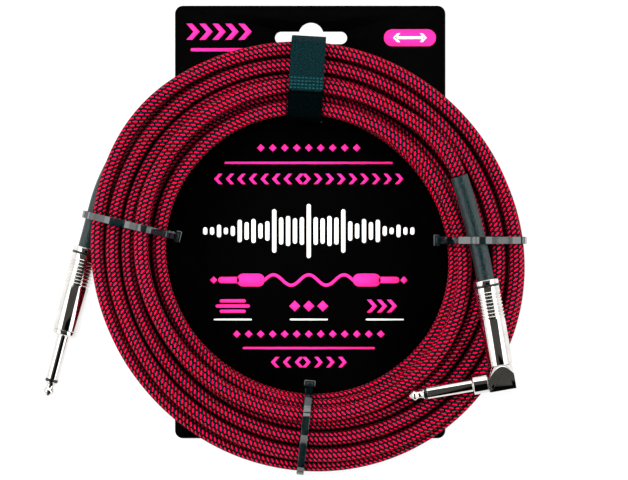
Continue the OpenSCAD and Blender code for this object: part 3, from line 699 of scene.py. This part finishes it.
def bandMesh(points, girth, width, thickness, strips, edge):
    # a ring of points becomes a tape: its rim is extruded across in strips, then given a wall
    mesh = bmesh.new()
    count = len(points)
    uvLayer = mesh.loops.layers.uv.new("UVMap")
    stepLayer = mesh.verts.layers.int.new("step")
    rim = [mesh.verts.new(mm(p.x, p.y, -width / 2)) for p in points]
    for step, vertex in enumerate(rim):
        vertex[stepLayer] = step
    edges = [mesh.edges.new((rim[k], rim[(k + 1) % count])) for k in range(count)]
    for _ in range(strips):
        grown = bmesh.ops.extrude_edge_only(mesh, edges=edges)["geom"]
        edges = [g for g in grown if isinstance(g, bmesh.types.BMEdge)]
        bmesh.ops.translate(mesh, verts=[g for g in grown if isinstance(g, bmesh.types.BMVert)],
                            vec=mm(0, 0, width / strips))
    for face in mesh.faces:
        steps = unwrapped([loop.vert[stepLayer] for loop in face.loops], count)
        for loop, step in zip(face.loops, steps):
            loop[uvLayer].uv = (mm(step * girth / count), loop.vert.co.z)
    faceOut(mesh)
    bmesh.ops.solidify(mesh, geom=mesh.faces[:], thickness=-mm(thickness))
    bevelSharp(mesh, edge)
    return mesh


def rippled(points):
    # a tie is stiff: between the loops it dips a little, so its flat top catches the light in stretches
    moved = []
    for k, p in enumerate(points):
        run = points[(k + 1) % len(points)] - points[k - 1]
        outward = Vector((run.y, -run.x)).normalized()
        top = ease((outward.y - 0.5) * 4)
        dip = tieSet["ripple"] * 0.5 * (1 - cos(tau * p.x / tieSet["rippleLength"]))
        moved.append(p - outward * dip * top)
    return moved


def tieBlock(size, middle, edge):
    block = bmesh.new()
    bmesh.ops.create_cube(block, size=1.0, matrix=shift(*middle) @ Matrix.Diagonal((*mm(*size), 1)))
    bevelSharp(block, edge, segments=3)
    return block


def tie(side, sleeve=None):
    # the sleeve, where there is one, is the (x, y, z) of a sleeving that the tie goes round as well
    s = tieSet
    at = s[side]
    across = crossings(*at)
    inner = min(x for x, y in across)
    thick, tall, _ = s["head"]
    middle, loop = s["headHeight"] + tall / 2, cordSet["diameter"] / 2
    extras = [(inner - s["slack"], middle, loop)]
    if sleeve:
        local = bandFrame(*at).inverted() @ mm(*sleeve) * 1000
        extras.insert(0, (local.x, local.y, sleevingSet["diameter"] / 2))
    # pulled tight, it turns up right under the outermost of the lowest loops
    lowest = min(y for x, y in across)
    outerFoot = max(x for x, y in across if y < lowest + 2)
    points, girth = bandOutline(across, extras, outerFoot, s["steps"])
    mesh = bandMesh(rippled(points), girth, s["width"], s["thickness"], 2, s["edge"])
    # the head, with the recess that the tail comes out of, and the cut tail
    face = inner - loop - bandSet["reach"] - s["slack"] - s["thickness"] / 2
    head = tieBlock(s["head"], (face - thick / 2, middle, 0), s["headEdge"])
    top = max(head.faces, key=lambda f: f.calc_center_median().y + f.calc_area())
    bmesh.ops.inset_region(head, faces=[top], thickness=mm(s["recess"]), depth=0)
    bmesh.ops.translate(head, verts=list(top.verts), vec=mm(0, -s["recess"], 0))
    addInto(mesh, head)
    tailMiddle = (face - thick + s["tailSink"], middle + s["tailRise"], 0)
    addInto(mesh, tieBlock(s["cutTail"], tailMiddle, s["tailEdge"]))
    moveTo(mesh, bandFrame(*at))
    finishPiece(mesh, side + "Tie", nylon, [side + "_tie"])


angleBend = tieSet["alongAngle"] / angleEnd["bendRadius"] / 2
tie("left", Vector(straightEnd["rear"]) + tieSet["alongStraight"] * leaned(straightEnd))
tie("right", angleRear + tieSet["alongAngle"] * leaned(angleEnd, angleBend))
tie("bottom")
print("ties drawn tight")


# hook-and-loop strap: a tape round the loops, and its end, which lies on top and peels open

strapSet = {"at": (90.3, -3.5), "width": 17.0, "thickness": 1.2, "slack": 1.4, "steps": 280, "edge": 0.3,
            "pileFrom": (4.0, 8.0), "foot": (104.131, 25.773), "flapDir": (-0.926386, 0.376576),
            "flapLength": 26.0, "flapThickness": 1.4, "flapEdge": 0.35, "corner": 2.0, "bendOver": 4.5,
            "stitchRows": (1.3, 3.1, 4.9, 6.7), "stitchesAcross": 9, "stitch": (0.72, 0.5, 0.25),
            "stitchTurn": 12}
# relief in mm; warp and weft are the spacing of the yarns in mm
weaveSet = {"warp": 1.6, "weft": 1.4, "relief": 0.16, "strength": 0.8, "tones": ("#00080a", "#082d30")}
pileSet = {"cells": 2200, "relief": 0.4, "loops": ("#000000", "#0a1c1d"), "hooks": ("#030404", "#2b3234")}


def makeWovenTape():
    # Woven nylon tape: yarn in a close plain weave, drawn about twice as coarse as real so that it shows
    w = weaveSet
    material, shader, add = newMaterial("wovenNylonTape")
    uv = add("UVMap", uv_map="UVMap")
    along, across, _ = add("SeparateXYZ", uv).node.outputs
    warp = add("SINE", add("MULTIPLY", across, tau / mm(w["warp"])))
    weft = add("SINE", add("MULTIPLY", along, tau / mm(w["weft"])))
    height = add("ADD", add("MULTIPLY", warp, weft), grain(add, 1500, 3, -1.5, 1.5, uv))
    # painted highlight and shade: the colour is mixed lighter on the yarn crowns and darker in the hollows
    # between them, stirred by random grain
    crowns = add("MapRange", height, -0.6, 1.7, 0.0, 1.0)
    fill(shader, {"Roughness": 0.75, "Specular IOR Level": 0.08,
                  "Base Color": add("Mix", crowns, *w["tones"]),
                  "Normal": add("Bump", {"Height": height, "Distance": mm(w["relief"]),
                                         "Strength": w["strength"]})})
    return material


def makePile(name, tones):
    # Brushed loops or fine hooks: a mat of dark fibres that swallows light, with a few bright ends
    material, shader, add = newMaterial(name)
    hairs = grain(add, pileSet["cells"], 4, coords=add("UVMap", uv_map="UVMap"))
    ends = add("POWER", hairs, 4.0)
    fill(shader, {"Roughness": 0.95, "Specular IOR Level": 0.01,
                  "Base Color": add("Mix", ends, *tones),
                  "Normal": add("Bump", {"Height": hairs, "Distance": mm(pileSet["relief"]),
                                         "Strength": 1.0})})
    return material


wovenTape = makeWovenTape()
loopPile = makePile("brushedLoopPile", pileSet["loops"])
hookFace = makePile("mouldedHookFace", pileSet["hooks"])


def strapTape():
    s = strapSet
    across = crossings(*s["at"])
    loop, middle = cordSet["diameter"] / 2, cordSet["firstZ"] + cordSet["layerHeight"]
    ends = [(min(x for x, y in across) - s["slack"] / 2, middle, loop),
            (max(x for x, y in across) + s["slack"], middle, loop)]
    outerFoot = max(x for x, y in across) + loop + bandSet["reach"] - bandSet["footRadius"]
    points, girth = bandOutline(across, ends, outerFoot, s["steps"])
    mesh = bandMesh(points, girth, s["width"], s["thickness"], 16, s["edge"])
    # pile faces up along the top run inside the flap's foot, the weave everywhere else
    inside, above = s["pileFrom"]
    for face in mesh.faces:
        spot = face.calc_center_median() * 1000
        face.material_index = 1 if spot.x < s["foot"][0] - inside and spot.y > above else 0
    moveTo(mesh, bandFrame(*s["at"]))
    piece = finishPiece(mesh, "strapTape", wovenTape, ["strap_tape"], sharpAbove=50)
    piece.data.materials.append(loopPile)


def flapFrame():
    # along the flap from its foot, across it, and up from its underside
    (dx, dy), (x, y) = strapSet["flapDir"], strapSet["foot"]
    local = Matrix(((dx, 0, dy, mm(x)), (dy, 0, -dx, mm(y)), (0, 1, 0, 0), (0, 0, 0, 1)))
    return bandFrame(*strapSet["at"]) @ local


def strapFlap():
    s = strapSet
    length, width, corner = s["flapLength"], s["width"], s["corner"]
    mesh = bmesh.new()
    bmesh.ops.create_grid(mesh, x_segments=52, y_segments=34, size=0.5)
    uvLayer = mesh.loops.layers.uv.new("UVMap")
    for v in mesh.verts:
        x = (v.co.x + 0.5) * length
        past = max(0.0, x - (length - corner))
        half = width / 2 - corner + sqrt(max(0.0, corner ** 2 - past ** 2))
        v.co = mm(x, v.co.y * 2 * half, 0)
    for face in mesh.faces:
        for loop in face.loops:
            loop[uvLayer].uv = (loop.vert.co.x, loop.vert.co.y)
    faceOut(mesh)
    if mesh.faces[:][0].normal.z < 0:
        bmesh.ops.reverse_faces(mesh, faces=mesh.faces)
    bmesh.ops.solidify(mesh, geom=mesh.faces[:], thickness=-mm(s["flapThickness"]))
    lift = -min(v.co.z for v in mesh.verts)
    bmesh.ops.translate(mesh, verts=mesh.verts, vec=(0, 0, lift))
    bevelSharp(mesh, s["flapEdge"])
    faceOut(mesh)
    for face in mesh.faces:
        face.material_index = 1 if face.normal.z < -0.7 else 0
    moveTo(mesh, flapFrame())
    faceOut(mesh)
    flap = finishPiece(mesh, "strapFlap", wovenTape, ["strap_flap"], None, 50)
    flap.data.materials.append(hookFace)
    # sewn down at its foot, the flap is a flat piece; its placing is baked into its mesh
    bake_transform(flap)


def strapStitches():
    # rows of short stitches fasten the hook patch below the flap's free end
    s = strapSet
    mesh = bmesh.new()
    count = s["stitchesAcross"]
    pitch = s["width"] / (count + 0.3)
    for row, back in enumerate(s["stitchRows"]):
        lean = 90 + (s["stitchTurn"] if row % 2 else -s["stitchTurn"])
        x, z = s["flapLength"] - back, s["flapThickness"]
        for k in range(count):
            spot = shift(x, (k - (count - 1) / 2) * pitch, z)
            stitch = spot @ rotate(lean) @ Matrix.Diagonal((*mm(*s["stitch"]), 1))
            bmesh.ops.create_uvsphere(mesh, u_segments=10, v_segments=6, radius=1.0, matrix=stitch)
    moveTo(mesh, flapFrame())
    faceOut(mesh)
    finishPiece(mesh, "strapStitches", thread, (), "strap_flap", None)


strapTape()
strapFlap()
strapStitches()
print("strap sewn")


def closedCard():
    # the board springs back against each band after it is pushed through
    mesh = copyOf("hang_card")
    nearest, farthest = bandSet["cardSpring"]
    bands = [(tieSet[side], tieSet["width"]) for side in ("left", "right", "bottom")]
    for at, width in bands + [(strapSet["at"], strapSet["width"])]:
        band = bandFrame(*at)
        back = band.inverted()
        for v in mesh.verts:
            local = back @ v.co
            away = abs(local.z) * 1000 - width / 2
            if nearest < away < farthest and 0 < local.x * 1000 < bandMiddle + bandSet["cardReach"]:
                local.z = copysign(mm(width / 2 + bandSet["cardPlay"]), local.z)
                v.co = band @ local
    faceOut(mesh)
    finishPiece(mesh, "hangCard", board, ["hang_card"])


closedCard()


# print on the card: sound bars, a patch lead and rows of small signs, all in thin raised ink

printSet = {"pink": "#ff2a8c", "white": "#f6f6f6", "top": 1.86, "thickness": 0.1, "lift": 0.05,
            "rough": (0.43, 0.47), "middle": 12.0, "diamond": (2.7, 2.7), "chevron": (1.9, 5.2),
            "chevronSlope": 0.9,
            "bars": {"y": 5.0, "count": 31, "pitch": 3.45, "width": 2.1, "tall": 27.0, "least": 3.2,
                     "beat": (11.5, 0.62, 1.9, 0.55)},
            "rows": [("diamond", 46.5, 9, 6.0), ("chevron", 31.0, 17, 5.8),
                     ("diamond", -46.5, 13, 6.0), ("chevron", -60.5, 7, 6.0)],
            "rules": [(39.0, 84), (-53.5, 66)], "ruleHeight": 1.1,
            "lead": {"y": -19.5, "reach": 22, "waves": 2.5, "swing": 2.6, "width": 1.5},
            "plug": [("bar", 29, (14, 6.4)), ("bar", 40, (10.5, 3.2)), ("diamond", 47.5, (2.6, 2.6))],
            "signsAt": -32.5, "barTaper": 4, "underline": (-39.2, 19, 0.8),
            "signs": [("bar", -38, (0, 2.6), (17, 1.6)), ("diamond", 0, (7, 0), (3.9, 3.9)),
                      ("chevron", 38, (5, 0), (2.2, 6.4))],
            "header": {"from": (-44, 104.5), "count": 5, "pitch": 6.5, "size": (3.0, 8.0),
                       "rule": (-33, 95.5, 28, 1.6)},
            "badge": {"at": (62.5, 101.5), "size": (26, 8.4), "line": (15, 1.3), "headAt": 7.6,
                      "head": (1.5, 4.4)}}


def ink(target, kind, x, y, width, height, lift=0.0, flip=1):
    # a thin slab, cut to the sign wanted: a rounded bar, a diamond or a chevron
    p = printSet
    shape = bmesh.new()
    bmesh.ops.create_cube(shape, size=1.0)
    if kind == "chevron":
        bmesh.ops.bisect_plane(shape, geom=shape.verts[:] + shape.edges[:] + shape.faces[:],
                               plane_co=(0, 0, 0), plane_no=(0, 1, 0))
    bmesh.ops.scale(shape, vec=mm(width, height, p["thickness"]), verts=shape.verts)
    if kind == "chevron":
        for v in shape.verts:
            v.co.x -= abs(v.co.y) * p["chevronSlope"] * flip
    if kind == "bar":
        upright = [e for e in shape.edges if abs(e.verts[0].co.z - e.verts[1].co.z) > 1e-6]
        bmesh.ops.bevel(shape, geom=upright, offset=mm(min(width, height) * 0.49), segments=5, profile=0.5,
                        affect="EDGES", material=-1)
    spot = shift(x, y, p["top"] + lift - p["thickness"] / 2)
    moveTo(shape, spot @ rotate(45 if kind == "diamond" else 0))
    addInto(target, shape)


def wavyLead(target, middle, y, reach, waves, swing, width):
    # the lead of the drawn patch cord: a narrow slab that swings up and down
    lead = bmesh.new()
    bmesh.ops.create_grid(lead, x_segments=90, y_segments=1, size=0.5)
    for v in lead.verts:
        share = v.co.x + 0.5
        phase = tau * waves * share
        slope = swing * tau * waves / (2 * reach) * cos(phase)
        stretch = sqrt(1 + slope * slope)
        v.co = mm(middle + 2 * reach * v.co.x, y + swing * sin(phase) + v.co.y * width * stretch,
                  printSet["top"] - printSet["thickness"])
    grown = bmesh.ops.extrude_face_region(lead, geom=lead.faces[:])["geom"]
    bmesh.ops.translate(lead, verts=[g for g in grown if isinstance(g, bmesh.types.BMVert)],
                        vec=mm(0, 0, printSet["thickness"]))
    faceOut(lead)
    addInto(target, lead)


def makeInk(name, shade):
    # Screen-printed ink: flat, even colour, a touch glossier than the board, whose grain stirs its sheen
    material, shader, add = newMaterial(name)
    fill(shader, {"Base Color": shade, "Specular IOR Level": 0.1,
                  "Roughness": grain(add, 1200, 2, *printSet["rough"])})
    return material


def drawPrint():
    p, mid = printSet, printSet["middle"]
    pink, white = bmesh.new(), bmesh.new()
    # sound bars, whose heights swell and beat like a plucked note
    bars = p["bars"]
    reach, level, fast, slow = bars["beat"]
    for k in range(bars["count"]):
        t = k - (bars["count"] - 1) / 2
        envelope = exp(-(t / reach) ** 2) * (level + (1 - level) * cos(t * fast) * cos(t * slow))
        ink(white, "bar", mid + t * bars["pitch"], bars["y"], bars["width"],
            max(bars["least"], bars["tall"] * envelope))
    for kind, y, count, pitch in p["rows"]:
        for k in range(count):
            t = k - (count - 1) / 2
            ink(pink, kind, mid + t * pitch, y, *p[kind], flip=1 if t >= 0 else -1)
    for y, width in p["rules"]:
        ink(pink, "bar", mid, y, width, p["ruleHeight"])
    # a patch cord: its lead, with a plug at either end
    wavyLead(pink, mid, **p["lead"])
    for s in (-1, 1):
        for kind, away, size in p["plug"]:
            ink(pink, kind, mid + s * away, p["lead"]["y"], *size)
    # three small signs, each with a pale rule below
    below, *ruleSize = p["underline"]
    for kind, x, (dx, dy), (width, height) in p["signs"]:
        for k in (-1, 0, 1):
            taper = p["barTaper"] * abs(k) if kind == "bar" else 0
            ink(pink, kind, mid + x + dx * k, p["signsAt"] + dy * k, width - taper, height)
        ink(white, "bar", mid + x, below, *ruleSize)
    # chevrons at the top left, and a badge with a two-headed arrow at the top right
    x, y = p["header"]["from"]
    for k in range(p["header"]["count"]):
        ink(pink, "chevron", x + p["header"]["pitch"] * k, y, *p["header"]["size"])
    ink(pink, "bar", *p["header"]["rule"])
    badge, (x, y) = p["badge"], p["badge"]["at"]
    ink(pink, "bar", x, y, *badge["size"])
    ink(white, "bar", x, y, *badge["line"], lift=p["lift"])
    for s in (-1, 1):
        ink(white, "chevron", x + s * badge["headAt"], y, *badge["head"], lift=p["lift"], flip=s)
    for shade, mesh in (("pink", pink), ("white", white)):
        screenInk = makeInk(shade + "ScreenInk", p[shade])
        finishPiece(mesh, shade + "Print", screenInk, sharpAbove=None)


drawPrint()
print("card printed")


# world, lights and floor

lightSet = {"glow": 1.0, "softbox": 2.6, "fill": 0.12, "ceiling": "#4b4a47", "stand": "#040808",
            "edge": (0.52, 0.6), "standEdge": (-0.13, -0.075), "standSide": (-0.16, -0.1),
            "panelEdge": (0.3, 0.42),
            "lamps": [("topLamp", (-120, 180, 1150), 450, 20.0), ("leftLamp", (-700, 100, 500), 500, 8.0),
                      ("rightLamp", (720, 60, 500), 500, 8.0)],
            "floor": 1500.0, "floorDrop": 0.2, "floorShade": "#f7f7f7", "floorGlow": 0.85}


def seenDirectly(add):
    # mirror rays; and 1 for them, rays from the camera and rays through clear things, 0 for soft light
    rays = add("LightPath").node.outputs
    clear = add("MAXIMUM", rays["Is Camera Ray"], rays["Is Transmission Ray"])
    return rays["Is Glossy Ray"], add("MAXIMUM", clear, rays["Is Glossy Ray"])


def makeSurroundings():
    # a white tent; mirrors also see bright panels at the sides and back and a dim ceiling straight above,
    # with a dark stand over the near part of it, to the right
    s = lightSet
    world = bpy.data.worlds.new("studio")
    bpy.context.scene.world = world
    world.use_nodes = True
    add = partial(addNode, world.node_tree)
    mirrored, seen = seenDirectly(add)
    x, y, z = add("SeparateXYZ", add("TexCoord", output="Generated")).node.outputs
    sides = add("MapRange", add("ABSOLUTE", x), *s["edge"], 1.0, 0.0)
    behind = add("MapRange", y, *s["edge"], 1.0, 0.0)
    dim = add("MULTIPLY", sides, add("MULTIPLY", behind, mirrored))
    near = add("MULTIPLY", add("MapRange", y, *s["standEdge"], 1.0, 0.0),
               add("MapRange", x, *s["standSide"], 0.0, 1.0))
    above = add("Mix", near, s["ceiling"], s["stand"])
    panel = add("MULTIPLY", add("MapRange", z, *s["panelEdge"], 0.0, 1.0), add("SUBTRACT", 1.0, dim))
    glow = add("MapRange", panel, 0.0, 1.0, s["glow"], s["softbox"])
    extra = add("SUBTRACT", glow, s["fill"])
    fill(world.node_tree.nodes["Background"], {
        "Color": add("Mix", dim, "#ffffff", above),
        "Strength": add("MULTIPLY_ADD", seen, extra, s["fill"])})
    for name, at, size, power in s["lamps"]:
        data = bpy.data.lights.new(name, "AREA")
        data.shape = "DISK"
        data.size = mm(size)
        data.energy = power
        lamp = linked(name, data)
        lamp.location = mm(*at)
        lamp.rotation_euler = (-mm(*at)).to_track_quat("-Z", "Y").to_euler()
        lamp.visible_glossy = False


def makeFloor():
    # matt white board that keeps the object's shadow and shows mirrors an even white
    s = lightSet
    grid = bmesh.new()
    bmesh.ops.create_grid(grid, x_segments=1, y_segments=1, size=mm(s["floor"]))
    bmesh.ops.translate(grid, verts=grid.verts, vec=mm(0, 0, -s["floorDrop"]))
    material, shader, add = newMaterial("mattWhiteBackground")
    fill(shader, {"Roughness": 1.0, "Base Color": s["floorShade"], "Specular IOR Level": 0.0})
    glow = add("Emission", {"Color": "#ffffff", "Strength": 1.0})
    share = add("MULTIPLY", seenDirectly(add)[1], s["floorGlow"])
    fill(material.node_tree.nodes["Material Output"], {
        "Surface": add("MixShader", {0: share, 1: shader.outputs[0], 2: glow})})
    linkMesh(grid, "floor", material)


makeSurroundings()
makeFloor()
bpy.context.scene.view_settings.view_transform = "Standard"
